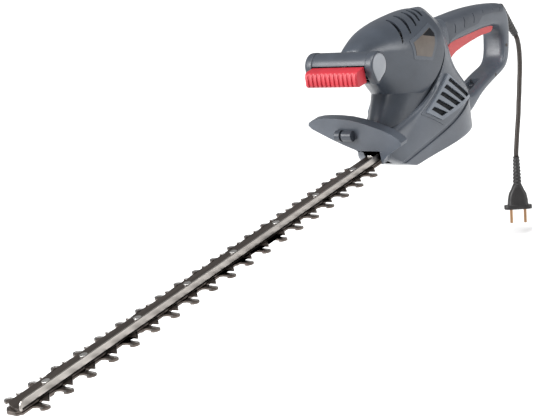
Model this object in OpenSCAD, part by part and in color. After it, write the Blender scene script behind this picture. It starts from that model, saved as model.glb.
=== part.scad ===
// Corded electric hedge trimmer with a two-sided reciprocating blade.
// Inside every module X runs back from the rearmost tooth, Z runs up from
// the plane between the two blades, and -Y is the left side. placed() then
// moves the whole tool so that the middle of the rear grip is the origin.

/* [Blades] */
// Distance between neighbouring long teeth
tooth_pitch = 30; // [26:1:34]
// Number of teeth along each side of a blade
tooth_count = 19; // [12:1:20]
// Thickness of one blade
blade_t = 2; // [1.6:0.1:2.4]
// Gap between the blades, and between a blade and its bar
blade_gap = 0.2; // [0.1:0.05:0.3]
// Travel of each blade from its middle place
half_stroke = 8; // [6:0.5:8]
// Half width of the strip that carries the teeth
strip_half_w = 11; // [9:0.5:12]
// Reach of the long blunt teeth from the middle line
long_reach = 29; // [26:1:34]
// Reach of the short pointed teeth from the middle line
short_reach = 21.5; // [18:0.5:24]

/* [Support bar] */
// Half width of the bar above the blades
bar_half_w = 12; // [11:0.5:13]
// Thickness of the flat web of the bar
web_t = 2.7; // [2:0.1:3.5]
// Thickness of the upright flange
flange_t = 2.2; // [1.6:0.1:3]
// Height of the flange over the underside of the bar
flange_h = 9; // [6:0.5:10]
// Diameter of the bolts that hold the blades
bolt_d = 5; // [4:0.5:6]
// Diameter of the bolt heads and of the nuts under them
bolt_head_d = 8; // [7:0.5:10]

/* [Gears] */
// Gear module
gear_module = 1; // [1:0.05:1.1]
// Teeth on the large gear
gear_teeth = 60; // [56:4:60]
// Teeth on the motor pinion
pinion_teeth = 12; // [12:2:14]
// Face width of the large gear
gear_w = 7; // [5:0.5:8]
// Diameter of the crank shaft
crank_shaft_d = 6; // [5:0.5:7]
// Diameter of the motor shaft
motor_shaft_d = 8; // [6:0.5:8]
// Diameter of the stator stack
stator_d = 66; // [62:1:66]
// Height of the stator stack
stator_h = 38; // [30:1:42]

/* [Housing] */
// Wall thickness of the mouldings
wall = 2.6; // [2:0.1:3]
// Half width of the body
body_half_w = 43; // [43:0.5:50]
// Width of the rear handle
handle_w = 35; // [32:0.5:40]
// Height of the hood over the blade plane
hood_top = 147; // [145:0.5:155]
// Depth of the base tray under the blade plane
base_depth = 21; // [20:0.5:26]

/* [Guard and front handle] */
// Reach of the guard to the right of the middle line
guard_right = 79; // [74:1:95]
// Reach of the guard to the left of the middle line
guard_left = 50; // [46:1:70]
// Thickness of the guard plate
guard_t = 4; // [3:0.5:5]
// Half length of the front handle bar
bar_handle_half = 47; // [45:1:60]
// Radius of the round back of the front handle
bar_handle_r = 15.5; // [15:0.5:18]
// Half length of the red switch bar
switch_bar_half = 36; // [30:1:38]
// Travel of the front switch bar
switch_bar_travel = 5; // [3:0.5:5]

/* [Cord] */
// Diameter of the power cord
cord_d = 6.5; // [6:0.5:7.5]
// Length of the plug pins
pin_length = 19; // [18:0.5:20]
// Distance between the plug pins
pin_spacing = 19; // [18:0.5:20]
// Diameter of a plug pin
pin_d = 4; // [3.8:0.1:4.8]

/* [Hidden] */
$fn = 48;

// Clearances
shaft_gap = 0.05;      // radial, shaft in a bearing
loose_gap = 0.4;       // around pieces that move
touch = 0.01;          // how far a cut runs past a face

// The middle of the rear grip, from the rearmost tooth and the blade plane
grip_x = 300;
grip_z = 96;

// Heights of the blade stack
upper_z = blade_gap / 2;
lower_z = -blade_gap / 2 - blade_t;
web_z = upper_z + blade_t + blade_gap;
web_top = web_z + web_t;
bolt_r = bolt_d / 2;
slot_half_w = bolt_r + loose_gap;
slot_half_l = bolt_r + half_stroke + loose_gap;
blade_front = -(tooth_count - 1) * tooth_pitch - 20;
bolt_step = 2.55 * tooth_pitch;
bolt_first = -5;
bolt_count = 7;
last_bolt_x = blade_front + 46;
bolt_xs = [for (i = [0:bolt_count - 1]) if (bolt_first - i * bolt_step > last_bolt_x + 40)
    bolt_first - i * bolt_step, last_bolt_x];

// The drive: crank at crank_x, motor behind it
crank_x = 102;
gear_r = gear_module * gear_teeth / 2;
pinion_r = gear_module * pinion_teeth / 2;
motor_x = crank_x + gear_r + pinion_r;
crank_r = crank_shaft_d / 2;
motor_r = motor_shaft_d / 2;
pinion_bore_r = motor_r - 1;
cam_r = half_stroke + crank_r + 1.5;
yoke_slot_x = cam_r + 2 * half_stroke + loose_gap;
yoke_slot_y = cam_r + half_stroke + loose_gap;
yoke_rim = 5;
gear_z = 7;
plate_z = 18;
plate_t = 4;
fan_z = 29;
stator_z = 48;
stator_top = stator_z + stator_h;
core_r = 21;
bore_r = 21.6;
commutator_z = stator_top + 12;
commutator_h = 13;
commutator_r = 11.5;
bearing_r = 11;
bearing_h = 7;
high_bearing_z = commutator_z + commutator_h + 5;
brush_w = 6;
brush_h = 8;

// Outlines in X and Z, seen from the left, and in X and Y, seen from above
seam_z = 3;
case_top = 46;
guard_x = 30;
case_front = guard_x + guard_t;
body_rear = 236;
handle_half = handle_w / 2;
case_half = [
    [case_front, 14.5], [44, 18], [60, 29], [79, 35], [110, 39], [145, body_half_w],
    [182, body_half_w], [204, 38], [222, 27], [body_rear, handle_half]
];
case_plan = concat(case_half, flip_y(case_half));
case_side = [
    [case_front, seam_z - 20], [238, seam_z - 20], [238, 22], [222, 40], [213, case_top],
    [62, case_top], [case_front, 38]
];
column_rear = [
    [170, body_half_w - 1], [188, 36], [202, 27], [211, handle_half - 2]
];
column_low = concat([[47, 4], [54, 9], [70, 21], [84, 31], [100, 37],
    [145, body_half_w - 1]], column_rear);
column_high = concat([[91, 3], [96, 9], [107, 21], [119, 31], [134, 39],
    [150, body_half_w - 1]], column_rear);
column_foot = 38;
column_top = 90;
hood_half = [
    [60, 18], [65, 27], [75, 35], [88, 40], [108, body_half_w], [150, body_half_w],
    [173, 38], [192, 27], [209, handle_half - 3]
];
hood_plan = concat(hood_half, flip_y(hood_half));
hood_side = [
    [74, column_top], [210, column_top], [209, 115], [202, 124], [192, 133],
    [176, hood_top - 5], [150, hood_top], [116, hood_top], [92, hood_top - 5],
    [74, hood_top - 12], [60, hood_top - 18], [58, column_top + 14], [64, column_top + 6]
];
hood_front = [
    [-body_half_w, column_top - 2], [body_half_w, column_top - 2], [body_half_w, 105],
    [body_half_w - 4, 119], [body_half_w - 14, 132], [16, hood_top - 5], [0, hood_top + 1],
    [-16, hood_top - 5], [-body_half_w + 14, 132], [-body_half_w + 4, 119],
    [-body_half_w, 105]
];
hood_seam = [
    [40, 84], [72, 82], [80, 70], [94, 64], [112, 66], [128, 72], [146, 83], [160, 95],
    [172, 107], [187, 115], [222, 120]
];

// The rear handle is a ring: its outer outline and the hand opening
grip_top = [[196, 117], [225, 115], [256, 113], [300, 107], [345, 99], [366, 94]];
handle_outer = concat(grip_top, [
    [374, 88], [376, 77], [370, 52], [361, 26], [352, 14], [338, 9.5], [306, 5], [285, 2],
    [271, -2], [262, -8], [250, -15], [246, -base_depth + 3], [200, -base_depth + 3], [196, 40]
]);
handle_opening = [
    [214, 79], [226, 83.5], [250, 82], [280, 79.5], [321, 76], [342, 71], [353, 61], [345, 28],
    [338, 21], [312, 19], [290, 15], [269, 10.5], [252, 8], [243, 10], [235, 20], [229, 33],
    [218, 51], [215, 64]
];

// Front handle bar and its switch
bar_x = 21;
bar_z = 124;
bar_lean = 25;
bar_tip = 22;
switch_bar_front = -14;
switch_bar_rear = 6;
switch_bar_low = 108;
switch_bar_high = 127;
neck_half = 17;
neck_low = 110;
neck_high = 134;
neck_rear = 90;
cap_t = 3;

// Trigger: it turns about a pin at its rear end
trigger_pin_x = 337;
trigger_pin_z = 80;
trigger_half = 9.5;
trigger_spring_x = 252;
trigger_pin_r = 2;
trigger_outline = [
    [222, 58], [227, 62], [236, 66], [250, 68], [285, 68.5], [314, 67.5], [331, 65], [339, 66],
    [343, 72], [343, 82], [338, 85.5], [326, 86], [300, 84.5], [262, 84], [236, 84], [225, 80], [219, 70]
];
rear_switch_x = 262;
rear_switch_z = 92.5;
rear_switch_l = 28;
rear_switch_h = 9.6;
plunger_r = 2;

// Cord route down the middle plane, from the strain relief to the plug
relief_start = [383, 0, 82];
cord_route = [
    [413, 0, 37], [416, 0, 30], [417, 0, 21], [416, 0, 10], [413, 0, -3], [408.5, 0, -16],
    [404, 0.5, -29], [399, 0.5, -42], [394, 1, -55], [389, 1, -68], [383.5, 1.5, -81],
    [378, 2, -94], [373, 2.5, -107], [369, 3, -118], [367, 3, -125]
];
plug_turn = -53;
plug_tilt = [-13, 9, 0];
relief_len = 41;
plug_len = 30;
flange_len = 6;

// ---------- helpers ----------

module placed(tint) {
    translate([-grip_x, 0, -grip_z]) color(tint) children();
}

// An outline in X and Z, thick from y0 to y1
module side(points, y0, y1) {
    translate([0, y1, 0]) rotate([90, 0, 0]) linear_extrude(y1 - y0) polygon(points);
}

// An outline in X and Y, thick from z0 to z1
module plan(points, z0, z1) {
    translate([0, 0, z0]) linear_extrude(z1 - z0) polygon(points);
}

// An outline in Y and Z, thick from x0 to x1
module front(points, x0, x1) {
    translate([x0, 0, 0]) rotate([90, 0, 90]) linear_extrude(x1 - x0) polygon(points);
}

// A block between two opposite corners
module block(a, b) {
    translate(a) cube(b - a);
}

// A solid between two outlines in X and Y that have the same number of points
module loft(low, high, z0, z1) {
    n = len(low);
    polyhedron(concat([for (p = low) [p[0], p[1], z0]], [for (p = high) [p[0], p[1], z1]]),
        concat([for (k = [0:n - 1]) each [[k, (k + 1) % n, n + (k + 1) % n],
            [k, n + (k + 1) % n, n + k]]],
            [[for (k = [n - 1:-1:0]) k], [for (k = [0:n - 1]) n + k]]));
}

module disc(r, z0, z1, x = 0, y = 0) {
    translate([x, y, z0]) cylinder(r = r, h = z1 - z0);
}

module ring(r_out, r_in, z0, z1, x = 0, y = 0) {
    difference() {
        disc(r_out, z0, z1, x, y);
        disc(r_in, z0 - 1, z1 + 1, x, y);
    }
}

// A cylinder along Y
module cross_pin(r, x, z, y0, y1) {
    translate([x, y1, z]) rotate([90, 0, 0]) cylinder(r = r, h = y1 - y0);
}

function unit(v) = v / norm(v);
function area2(pts) = let (n = len(pts))
    [for (p = pts) 1] * [for (i = [0:n - 1]) pts[i][0] * pts[(i + 1) % n][1]
        - pts[(i + 1) % n][0] * pts[i][1]];
function left_normal(a, b) = let (d = unit(b - a)) [-d[1], d[0]];
function moved_corner(p, q, r, d) = let (n1 = left_normal(p, q), n2 = left_normal(q, r))
    q + (n1 + n2) * (d / (1 + n1 * n2));
// The outline moved inward by d
function inset(pts, d) = let (n = len(pts), s = area2(pts) > 0 ? d : -d)
    [for (i = [0:n - 1]) moved_corner(pts[(i + n - 1) % n], pts[i], pts[(i + 1) % n], s)];
function between(a, b, t) = a + (b - a) * t;
function arc(c, r, a0, a1, n) = [for (i = [0:n]) let (a = a0 + (a1 - a0) * i / n)
    c + r * [cos(a), sin(a)]];
function flip_y(pts) = [for (i = [len(pts) - 1:-1:0]) [pts[i][0], -pts[i][1]]];

// ---------- blades and bar ----------

// One long blunt tooth on the left or right, hooked towards the front
function long_tooth(x) = [
    [x + 4.5, strip_half_w], [x + 3.2, strip_half_w + 5], [x + 3, long_reach - 4],
    [x + 2.2, long_reach - 1.3], [x, long_reach], [x - 2.6, long_reach - 0.5],
    [x - 5.4, long_reach - 3.4], [x - 6, long_reach - 6.8], [x - 3.2, long_reach - 8.2],
    [x - 3, strip_half_w + 4], [x - 4.5, strip_half_w]
];

// One short tooth with an upright front edge and a slanted rear edge
function short_tooth(x) = [
    [x + 19, strip_half_w - 1], [x + 7.6, short_reach], [x + 6.4, short_reach],
    [x + 5.6, strip_half_w - 1]
];

function right_side(kind) = [for (k = [0:tooth_count - 1])
    each (kind == "long" ? long_tooth(-k * tooth_pitch) : short_tooth(-k * tooth_pitch))];

module blade(kind, z) {
    right = right_side(kind);
    edge = kind == "long" ? strip_half_w : strip_half_w - 1;
    tail_x = crank_x - yoke_slot_x;
    yoke_y = yoke_slot_y + yoke_rim;
    yoke_half = [[tail_x - yoke_rim, strip_half_w], [tail_x + 8, yoke_y],
        [crank_x + yoke_slot_x + yoke_rim, yoke_y]];
    translate([0, 0, z]) difference() {
        union() {
            linear_extrude(blade_t) polygon(concat(
                [[tail_x, edge]], right, [[blade_front + 4, edge], [blade_front, edge - 5],
                [blade_front, 5 - edge], [blade_front + 4, -edge]],
                flip_y(right), [[tail_x, -edge]]));
            linear_extrude(blade_t) polygon(concat(yoke_half, flip_y(yoke_half)));
        }
        translate([0, 0, -1]) linear_extrude(blade_t + 2) polygon(concat(
            [[crank_x - yoke_slot_x, yoke_slot_y - 11]],
            [[crank_x - yoke_slot_x + 10, yoke_slot_y], [crank_x + yoke_slot_x, yoke_slot_y]],
            [[crank_x + yoke_slot_x, -yoke_slot_y], [crank_x - yoke_slot_x + 10, -yoke_slot_y]],
            [[crank_x - yoke_slot_x, 11 - yoke_slot_y]]));
        for (x = bolt_xs) bolt_slot(x);
    }
}

module bolt_slot(x) {
    half = slot_half_l - slot_half_w;
    block([x - half, -slot_half_w, -1], [x + half, slot_half_w, blade_t + 1]);
    for (s = [-1, 1]) disc(slot_half_w, -1, blade_t + 1, x + s * half);
}

module upper_blade() { placed("dimgray") blade("short", upper_z); }

module lower_blade() { placed("gray") blade("long", lower_z); }

bar_front = blade_front - 4;
bar_rear = crank_x - yoke_slot_x - yoke_rim - half_stroke - 4;

module support_bar() {
    placed("silver") difference() {
        union() {
            plan([[bar_front, -bar_half_w + 7], [bar_front + 7, -bar_half_w],
                [bar_rear, -bar_half_w], [bar_rear, bar_half_w],
                [bar_front + 7, bar_half_w], [bar_front, bar_half_w - 7]], web_z, web_top);
            side([[bar_front + 10, web_z], [bar_front + 10, web_top],
                [bar_front + 16, web_z + flange_h], [bar_rear, web_z + flange_h],
                [bar_rear, web_z]], -bar_half_w, -bar_half_w + flange_t);
        }
        for (x = bolt_xs) disc(bolt_r, web_z - 1, web_top + 1, x);
    }
}

module blade_bolts() {
    placed("gainsboro") for (x = bolt_xs) {
        disc(bolt_r, lower_z - blade_gap - 6, web_top + touch, x);
        disc(bolt_head_d / 2, web_top, web_top + 2.8, x);
    }
}

module blade_nuts() {
    placed("silver") for (x = bolt_xs) difference() {
        translate([x, 0, lower_z - blade_gap - 5])
            cylinder(r = bolt_head_d / 2 + 0.6, h = 5, $fn = 6);
        disc(bolt_r, lower_z - 12, lower_z + 1, x);
    }
}

module entry_plate() {
    placed("slategray") block([case_front + 5, -9, web_top], [bar_rear - 1, 9, web_top + 1.5]);
}

// ---------- gears and crank ----------

pressure_angle = 20;
backlash = 0.12;
addendum = 0.85;
dedendum = 1.25;

function involute(rb, r) = r <= rb ? 0 : let (a = acos(rb / r)) tan(a) - a * PI / 180;
function half_angle(n, r) = let (rp = gear_module * n / 2, rb = rp * cos(pressure_angle))
    90 / n - backlash / rp * 90 / PI
        + (involute(rb, rp) - involute(rb, r)) * 180 / PI;
function gear_radii(n) = let (rp = gear_module * n / 2)
    [for (f = [-dedendum, -0.6, -0.1, 0.4, addendum]) rp + f * gear_module];
function gear_outline(n) = [for (i = [0:n - 1]) let (mid = 360 * i / n)
    each concat(
        [for (r = gear_radii(n)) r * [cos(mid - half_angle(n, r)), sin(mid - half_angle(n, r))]],
        [for (j = [4:-1:0]) let (r = gear_radii(n)[j])
            r * [cos(mid + half_angle(n, r)), sin(mid + half_angle(n, r))]])];

module drive_gear() {
    placed("darkgoldenrod") translate([crank_x, 0, 0]) difference() {
        union() {
            translate([0, 0, gear_z]) linear_extrude(gear_w) polygon(gear_outline(gear_teeth));
            disc(crank_r + 4, upper_z + blade_t + 0.2, gear_z + touch);
        }
        disc(crank_r, 0, gear_z + gear_w + 1);
        for (a = [45:90:315]) disc(5, gear_z - 1, gear_z + gear_w + 1,
            0.6 * gear_r * cos(a), 0.6 * gear_r * sin(a));
    }
}

module crank_shaft() {
    placed("lightgray") disc(crank_r, -base_depth + wall + 3, plate_z + plate_t, crank_x);
}

module cam(y, z) {
    translate([crank_x, 0, z]) difference() {
        disc(cam_r, 0, blade_t, 0, y);
        disc(crank_r, -1, blade_t + 1);
    }
}

module upper_cam() { placed("darkgray") cam(half_stroke, upper_z); }

module lower_cam() { placed("darkgray") cam(-half_stroke, lower_z); }

bush_r = 6.5;
module crank_bush_low() {
    placed("peru") ring(bush_r, crank_r + shaft_gap, -base_depth + wall, lower_z - 1.5, crank_x);
}

module crank_bush_high() {
    placed("peru") ring(bush_r, crank_r + shaft_gap, plate_z, plate_z + plate_t + 1.5, crank_x);
}

module gear_plate() {
    low_x = crank_x - 25;
    placed("lightsteelblue") difference() {
        plan([[low_x, -24], [low_x + 14, -32], [motor_x + 10, -38], [motor_x + 42, -38],
            [motor_x + 42, 38], [motor_x + 10, 38], [low_x + 14, 32], [low_x, 24]],
            plate_z, plate_z + plate_t);
        disc(bush_r, plate_z - 1, plate_z + plate_t + 1, crank_x);
        disc(bearing_r, plate_z - 1, plate_z + plate_t + 1, motor_x);
    }
}

// ---------- motor ----------

module motor_shaft() {
    placed("lightgray") union() {
        disc(pinion_bore_r, gear_z - 1, plate_z, motor_x);
        disc(motor_r, plate_z - 1, high_bearing_z + bearing_h + 3, motor_x);
    }
}

module motor_pinion() {
    placed("goldenrod") translate([motor_x, 0, gear_z - 0.5]) difference() {
        rotate([0, 0, 180 + 180 / pinion_teeth]) linear_extrude(gear_w + 1)
            polygon(gear_outline(pinion_teeth));
        disc(pinion_bore_r, -1, gear_w + 2);
    }
}

module armature_core() {
    slots = 12;
    placed("dimgray") translate([motor_x, 0, 0]) difference() {
        disc(core_r, stator_z + 1, stator_top - 1);
        disc(motor_r, stator_z, stator_top);
        for (i = [0:slots - 1]) rotate([0, 0, i * 360 / slots])
            block([core_r - 7, -1.6, stator_z], [core_r + 1, 1.6, stator_top]);
    }
}

module armature_windings() {
    placed("chocolate") for (z = [stator_z - 6, stator_top - 1])
        ring(core_r - 4, motor_r, z, z + 7, motor_x);
}

module commutator() {
    bars = 24;
    placed("darkorange") translate([motor_x, 0, 0]) difference() {
        disc(commutator_r, commutator_z, commutator_z + commutator_h);
        disc(motor_r, commutator_z - 1, commutator_z + commutator_h + 1);
        for (i = [0:bars - 1]) rotate([0, 0, i * 360 / bars])
            block([commutator_r - 0.8, -0.2, commutator_z - 1],
                [commutator_r + 1, 0.2, commutator_z + commutator_h + 1]);
    }
}

module cooling_fan() {
    vanes = 14;
    placed("black") translate([motor_x, 0, 0]) difference() {
        union() {
            disc(9, fan_z, fan_z + 11);
            disc(34, fan_z, fan_z + 2);
            for (i = [0:vanes - 1]) rotate([0, 0, i * 360 / vanes])
                block([8, -0.8, fan_z + 1.9], [34, 0.8, fan_z + 9]);
        }
        disc(motor_r, fan_z - 1, fan_z + 12);
    }
}

module bearing(z) {
    difference() {
        disc(bearing_r, z, z + bearing_h, motor_x);
        disc(motor_r + shaft_gap, z - 1, z + bearing_h + 1, motor_x);
        for (s = [z - 1, z + bearing_h - 0.5])
            ring(bearing_r - 2, motor_r + 2, s, s + 1.5, motor_x);
    }
}

module motor_bearing_low() { placed("silver") bearing(plate_z); }

module motor_bearing_high() { placed("silver") bearing(high_bearing_z); }

module stator_core() {
    placed("gray") translate([motor_x, 0, 0]) difference() {
        intersection() {
            disc(stator_d / 2, stator_z, stator_top);
            block([-stator_d / 2 + 3, -stator_d, stator_z - 1],
                [stator_d / 2 - 3, stator_d, stator_top + 1]);
        }
        disc(bore_r, stator_z - 1, stator_top + 1);
        for (s = [-1, 1]) translate([0, s * (bore_r + 4), 0])
            block([-12, -3, stator_z - 1], [12, 3, stator_top + 1]);
    }
}

module field_coils() {
    placed("saddlebrown") for (s = [-1, 1]) for (z = [stator_z - 5, stator_top])
        translate([motor_x, s * (bore_r + 4), 0]) block([-12, -3.6, z], [12, 3.6, z + 5]);
}

module motor_bracket() {
    reach = stator_d / 2 - 6;
    placed("darkslategray") translate([motor_x, 0, 0]) difference() {
        union() {
            block([-reach, -12, high_bearing_z], [reach, 12, high_bearing_z + 4]);
            disc(bearing_r + 3, high_bearing_z, high_bearing_z + bearing_h);
            for (s = [-1, 1]) translate([s * (reach - 3), 0, 0])
                block([-3, -8, stator_top], [3, 8, high_bearing_z + touch]);
        }
        disc(bearing_r, high_bearing_z - 1, high_bearing_z + bearing_h + 1);
    }
}

brush_z = commutator_z + commutator_h / 2;
module brush_holders() {
    inner = commutator_r + 3;
    placed("goldenrod") for (s = [-1, 1]) translate([motor_x, s * (inner + 9), brush_z])
        difference() {
            cube([brush_w + 4, 18, brush_h + 4], center = true);
            cube([brush_w, 20, brush_h], center = true);
        }
}

module carbon_brushes() {
    length = 14;
    placed("black") for (s = [-1, 1])
        translate([motor_x, s * (commutator_r + 0.3 + length / 2), brush_z])
            cube([brush_w, length, brush_h], center = true);
}

module capacitor() {
    placed("khaki") block([186, -8, 52], [204, 8, 76]);
}

// ---------- housing ----------

module body_outer() {
    case_form(0, seam_z);
    column_form(0, column_top + 2);
    hood_form(0);
}

module body_inner() {
    case_form(wall, seam_z - 1);
    column_form(wall, column_top + 2 * wall);
    hood_form(wall);
}

module case_form(d, z0) {
    intersection() {
        side(inset(case_side, d), -body_half_w - 1, body_half_w + 1);
        plan(inset(case_plan, d), z0, case_top);
    }
}

// The column leans forward at its foot, where it joins the case
module column_form(d, z1) {
    low = inset(concat(column_low, flip_y(column_low)), d);
    high = inset(concat(column_high, flip_y(column_high)), d);
    loft(low, high, column_foot, z1);
}

module hood_form(d) {
    intersection() {
        side(inset(hood_side, d), -body_half_w - 1, body_half_w + 1);
        plan(inset(hood_plan, d), column_top - 1, hood_top + 2);
        front(inset(hood_front, d), 40, body_rear);
    }
}

module above_seam() {
    side(concat(hood_seam, [[222, 170], [40, 170]]), -60, 60);
}

module handle_outer_solid() {
    side(handle_outer, -handle_half, handle_half);
}

module handle_space() {
    half = handle_half - wall;
    side([[220, 111], [256, 109.5], [300, 103.5], [345, 95], [362, 90], [370, 85], [372.5, 77],
        [364, 45], [358, 45], [360, 66], [346, 80.5], [322, 86], [280, 90], [220, 89]], -half, half);
}

module trigger_slot() {
    half = trigger_half + loose_gap;
    block([215, -half, 70], [trigger_pin_x + 9.5, half, 92]);
}

module vent_window(s) {
    y = s * body_half_w;
    side(vent_outline, min(y - 8, y + 8), max(y - 8, y + 8));
}

module shell_solid() {
    difference() {
        union() {
            difference() {
                body_outer();
                above_seam();
            }
            difference() {
                handle_outer_solid();
                block([180, -40, -60], [body_rear, 40, seam_z]);
                side(handle_opening, -40, 40);
                above_seam();
            }
        }
        body_inner();
        handle_space();
        trigger_slot();
        for (s = [-1, 1]) vent_window(s);
        cross_pin(trigger_pin_r, trigger_pin_x, trigger_pin_z, -handle_half + wall / 2,
            handle_half - wall / 2);
        block([hook_x, -7, -20], [hook_x + 30, 7, 30]);
        block([0, -bar_half_w - 0.5, 0], [case_front + wall + 3, bar_half_w + 0.5,
            web_z + flange_h + 0.5]);
        for (p = screw_places) cross_pin(screw_r, p[0], p[1], -handle_half - 1, handle_half + 1);
        translate(relief_start) rotate([0, relief_lean, 0])
            translate([0, 0, -12]) cylinder(r = relief_r + shaft_gap, h = 40);
    }
}

screw_r = 2;
screw_head_r = 3.8;
screw_places = [[240, 96], [356, 40], [316, 12.5]];
relief_lean = 146;
hook_x = 262;
relief_r = 6.5;
vent_outline = [[156, 61], [196, 24], [133, 18], [108, 36]];

module housing_left() {
    placed("slategray") intersection() {
        shell_solid();
        block([0, -100, -60], [420, 0, 170]);
    }
}

module housing_right() {
    placed("slategray") intersection() {
        shell_solid();
        block([0, 0, -60], [420, 100, 170]);
    }
}

module motor_hood() {
    louvres = 5;
    placed("#4a4e57") difference() {
        intersection() {
            body_outer();
            above_seam();
        }
        body_inner();
        for (i = [0:louvres - 1]) translate([118 + 14 * i, 0, 0])
            difference() {
                block([-3, -32, 128], [3, 32, 170]);
                block([-4, -5, 120], [4, 5, 180]);
            }
    }
}

tray_side = [
    [case_front, seam_z], [case_front + 4, -2], [79, -base_depth], [228, -base_depth],
    [body_rear, -base_depth + 8], [body_rear, seam_z]
];
module base_cover() {
    placed("#666b73") difference() {
        union() {
            difference() {
                intersection() {
                    side(tray_side, -60, 60);
                    plan(case_plan, -50, 50);
                }
                intersection() {
                    side(inset(tray_side, wall), -60, 60);
                    plan(inset(case_plan, wall), -50, 50);
                }
                plan(inset(case_plan, wall), seam_z - 2 * wall, seam_z + 1);
            }
            disc(bush_r + 2, -base_depth + wall - touch, lower_z - 2, crank_x);
            for (p = base_screw_places) disc(6, -base_depth + 1, seam_z, p[0], p[1]);
        }
        disc(bush_r, -base_depth + wall, 10, crank_x);
        for (p = base_screw_places) {
            disc(screw_r, -30, 10, p[0], p[1]);
            disc(screw_head_r, -base_depth - 1, -base_depth + 2.2, p[0], p[1]);
        }
        block([0, -bar_half_w - 0.5, lower_z - blade_gap - 6], [case_front + 18,
            bar_half_w + 0.5, 20]);
    }
}

base_screw_places = [[154, 32], [154, -32], [205, 22], [205, -22]];
module base_screws() {
    placed("silver") for (p = base_screw_places) {
        disc(screw_r, -base_depth + 2, seam_z, p[0], p[1]);
        disc(screw_head_r, -base_depth + 0.2, -base_depth + 2.2, p[0], p[1]);
    }
}

module housing_screws() {
    placed("dimgray") for (p = screw_places)
        cross_pin(screw_r, p[0], p[1], -handle_half + 0.2, handle_half - 2);
}

module vent_grille(s) {
    ribs = 4;
    frame = inset(vent_outline, -4);
    y0 = s > 0 ? body_half_w : -body_half_w - 2;
    difference() {
        side(frame, y0, y0 + 2);
        for (i = [0:ribs]) vent_slot(i / ribs, y0 - 1, y0 + 3);
    }
}

// One slanted slot of the vent, t from 0 at the top to 1 at the bottom
module vent_slot(t, y0, y1) {
    a = between([153, 59], [113, 37], t);
    b = between([192, 27], [135, 23], t);
    across = unit([b[1] - a[1], a[0] - b[0]]) * 3.8;
    side([a + across, b + across, b - across, a - across], y0, y1);
}

module vent_grille_left() { placed("#8a8f97") vent_grille(-1); }

module vent_grille_right() { placed("#8a8f97") vent_grille(1); }

label_outline = [[104, 108], [105, 122], [134, 128], [142, 122], [145, 110], [133, 96]];
module label_plate(s) {
    y = body_half_w;
    side(label_outline, s > 0 ? y : -y - 1, s > 0 ? y + 1 : -y);
}

module label_plate_left() { placed("#75706a") label_plate(-1); }

module label_plate_right() { placed("#75706a") label_plate(1); }

guard_outline = [
    [guard_right, 48], [guard_right - 4, 53], [guard_right - 12, 56], [54, 57], [28, 56],
    [-1, 50], [-28, 41], [-guard_left + 3, 30], [-guard_left, 20], [-guard_left + 3, 8],
    [-36, 0], [-20, -6], [16, -6], [16, 17], [24, 19], [43, 26], [62, 35],
    [guard_right - 5, 42]
];
guard_rim = 14;
module hand_guard() {
    placed("#5b6068") difference() {
        union() {
            front(guard_outline, guard_x, case_front);
            difference() {
                front(guard_outline, case_front - touch, guard_x + guard_rim);
                front(inset(guard_outline, 3.5), case_front - 1, guard_x + guard_rim + 1);
                plan(inset(case_plan, -loose_gap), -50, case_top + loose_gap);
            }
        }
        block([0, -bar_half_w - 1, lower_z - 7], [100, bar_half_w + 1, web_z + flange_h + 1]);
    }
}

module guard_clip() {
    placed("#3c4048") for (y = [18, 33]) translate([guard_x - 5, y, 36])
        rotate([0, 90, 0]) cylinder(r = 6, h = 5);
}

module cable_hook() {
    placed("#3c4048") union() {
        block([hook_x, -3, -3], [hook_x + 20, 3, 3]);
        block([hook_x + 16, -3, -3], [hook_x + 20, 3, 11]);
    }
}

module cord_clamp() {
    placed("black") block([352, -10, 77], [360, 10, 83]);
}

// ---------- front handle ----------

// A circle with a pointed tip, in X and Z; d moves the outline inward
function teardrop(d) = let (r = bar_handle_r - d, tip = bar_tip - 1.4 * d)
    concat(arc([bar_x, bar_z], r, 290 - bar_lean - 75, -10 - bar_lean, 24),
        [[bar_x, bar_z] + tip * [-sin(bar_lean), -cos(bar_lean)]]);

module front_handle() {
    half = bar_handle_half - cap_t;
    placed("#4f545c") difference() {
        union() {
            side(teardrop(0), -half, half);
            block([bar_x + 4, -neck_half, neck_low], [neck_rear, neck_half, neck_high]);
        }
        side(teardrop(wall), -half - 1, half + 1);
        block([bar_x, -neck_half + wall, neck_low + wall],
            [neck_rear + 1, neck_half - wall, neck_high - wall]);
        block([-10, -switch_bar_half - loose_gap, switch_bar_low - loose_gap],
            [bar_x, switch_bar_half + loose_gap, switch_bar_high + loose_gap]);
        body_outer();
    }
}

module handle_cap(s) {
    y = s * bar_handle_half;
    side(teardrop(0), min(y, y - s * cap_t), max(y, y - s * cap_t));
}

module handle_cap_left() { placed("#9a9ea5") handle_cap(-1); }

module handle_cap_right() { placed("#9a9ea5") handle_cap(1); }

module front_switch_bar() {
    ribs = 12;
    step = 2 * switch_bar_half / ribs;
    placed("#d33a45") union() {
        side([[switch_bar_rear, switch_bar_low], [switch_bar_rear, switch_bar_high],
            [switch_bar_front + 5, switch_bar_high], [switch_bar_front + 2, switch_bar_high - 4],
            [switch_bar_front + 1, switch_bar_low + 3], [switch_bar_front + 5, switch_bar_low]],
            -switch_bar_half, switch_bar_half);
        for (i = [0:ribs - 1]) block(
            [switch_bar_front, -switch_bar_half + (i + 0.2) * step, switch_bar_low + 3],
            [switch_bar_front + 3, -switch_bar_half + (i + 0.8) * step, switch_bar_high - 5]);
    }
}

spring_x0 = switch_bar_rear;
spring_x1 = bar_x + 8;
module front_bar_springs() {
    placed("silver") for (y = [-28, 28]) translate([spring_x0 + 0.1, y, spring_z])
        rotate([0, 90, 0]) ring(3, 2, 0, spring_x1 - spring_x0);
}

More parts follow.
